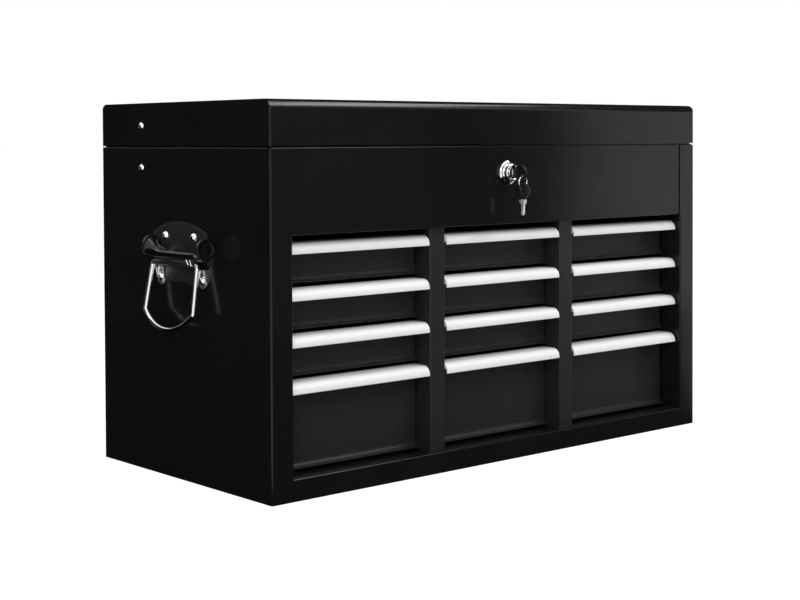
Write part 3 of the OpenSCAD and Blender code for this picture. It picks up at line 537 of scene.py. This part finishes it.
def white_world():
    """White where it is seen, and weaker as a light on dull surfaces."""
    world = bpy.data.worlds.new("world")
    bpy.context.scene.world = world
    world.use_nodes = True
    tree = world.node_tree
    background = next(n for n in tree.nodes if n.type == "BACKGROUND")
    background.inputs["Color"].default_value = (1, 1, 1, 1)
    strength = tree.nodes.new("ShaderNodeMapRange")
    strength.inputs["To Min"].default_value = WORLD_SHADE
    strength.inputs["To Max"].default_value = 1.0
    tree.links.new(seen_ray(tree), strength.inputs["Value"])
    tree.links.new(strength.outputs["Result"], background.inputs["Strength"])


def white_floor():
    """A wide floor that is seen nearly white, with the chest's soft shadow on it."""
    mesh = bpy.data.meshes.new("floor")
    corners = [(x * FLOOR_HALF, y * FLOOR_HALF, FLOOR_Z)
               for x, y in ((-1, -1), (1, -1), (1, 1), (-1, 1))]
    mesh.from_pydata(corners, [], [(0, 1, 2, 3)])
    floor = bpy.data.objects.new("floor", mesh)
    bpy.context.scene.collection.objects.link(floor)
    material = bpy.data.materials.new("floor_white")
    material.use_nodes = True
    tree = material.node_tree
    tree.nodes.clear()
    output = tree.nodes.new("ShaderNodeOutputMaterial")
    plain = tree.nodes.new("ShaderNodeBsdfDiffuse")
    plain.inputs["Color"].default_value = (FLOOR_PLAIN, FLOOR_PLAIN, FLOOR_PLAIN, 1)
    shaded = tree.nodes.new("ShaderNodeBsdfDiffuse")
    shaded.inputs["Color"].default_value = (FLOOR_SHADE, FLOOR_SHADE, FLOOR_SHADE, 1)
    glow = tree.nodes.new("ShaderNodeEmission")
    glow.inputs["Strength"].default_value = FLOOR_GLOW
    both = tree.nodes.new("ShaderNodeAddShader")
    mix = tree.nodes.new("ShaderNodeMixShader")
    tree.links.new(shaded.outputs[0], both.inputs[0])
    tree.links.new(glow.outputs[0], both.inputs[1])
    tree.links.new(seen_ray(tree), mix.inputs["Fac"])
    tree.links.new(plain.outputs[0], mix.inputs[1])
    tree.links.new(both.outputs[0], mix.inputs[2])
    tree.links.new(mix.outputs[0], output.inputs["Surface"])
    mesh.materials.append(material)


def softbox(name, at, target, width, height, power):
    """A soft rectangular lamp that points at target, with its power in watts."""
    data = bpy.data.lights.new(name, "AREA")
    data.shape = "RECTANGLE"
    data.size, data.size_y = width, height
    data.energy = power
    lamp = bpy.data.objects.new(name, data)
    lamp.location = at
    lamp.rotation_mode = "QUATERNION"
    lamp.rotation_quaternion = (Vector(target) - Vector(at)).to_track_quat("-Z", "Y")
    bpy.context.scene.collection.objects.link(lamp)


def flag(name, corners, shade=0.004):
    """A dark card that only gloss surfaces see, as on a photographer's table.

    A black lacquered case is photographed between such cards, or it would look grey."""
    mesh = bpy.data.meshes.new(name)
    mesh.from_pydata(corners, [], [tuple(range(len(corners)))])
    card = bpy.data.objects.new(name, mesh)
    bpy.context.scene.collection.objects.link(card)
    material, _, shader = new_material(name)
    shader.inputs["Base Color"].default_value = (shade, shade, shade, 1)
    shader.inputs["Roughness"].default_value = 1.0
    shader.inputs["Specular IOR Level"].default_value = 0.0
    mesh.materials.append(material)
    card.visible_camera = card.visible_diffuse = card.visible_shadow = False
    card.visible_transmission = card.visible_volume_scatter = False


def on_floor(*corners):
    """The corners of a card that lies on the floor."""
    return [(x, y, CARD_Z) for x, y in corners]


def standing(a, b, foot, top):
    """The corners of a card that stands over the line from a to b."""
    return [(*a, foot), (*b, foot), (*b, top), (*a, top)]


white_world()
white_floor()
flag("flag_side_floor", on_floor((-0.29, -0.2), (-0.29, 1.2), (-1.6, 1.2), (-1.6, 0.1)))
flag("flag_front_floor",
     on_floor((-0.36, -0.13), (0.0, -1.4), (1.3, -1.4), (1.3, -0.93), (0.285, -0.13)))
flag("flag_left", standing((-1.7, 0.1), (-0.4, 1.5), 0, 0.8))
flag("flag_right", standing((0.8, -1.2), (1.2, -1.15), 0, 0.8))
flag("flag_near", standing((-0.15, -1.3), (0.8, -1.2), 0, 0.8), 0.16)
flag("flag_far", standing((2.1, 0.15), (2.1, -1.6), 0.9, 3.2))
flag("flag_back", standing((-0.15, 2.11), (2.1, 0.15), 0, 3.2))
softbox("key_light", (0.95, -1.2, 1.6), (-0.1, 0, 0.3), 0.7, 0.5, 9)
softbox("edge_light", (0.90, -0.52, 1.6), (-0.25, -0.15, 0.35), 0.72, 0.45, 7)
softbox("top_light", (0.0, -0.5, 2.1), (0, -0.1, 0.3), 1.6, 1.0, 7)
softbox("fill_light", (-1.9, -1.9, 1.4), (0, 0, 0.2), 1.0, 1.0, 20)
softbox("rim_light", (-1.2, 0.75, 1.3), (-0.32, 0, 0.2), 0.15, 0.9, 2)

bpy.context.scene.view_settings.view_transform = "Standard"
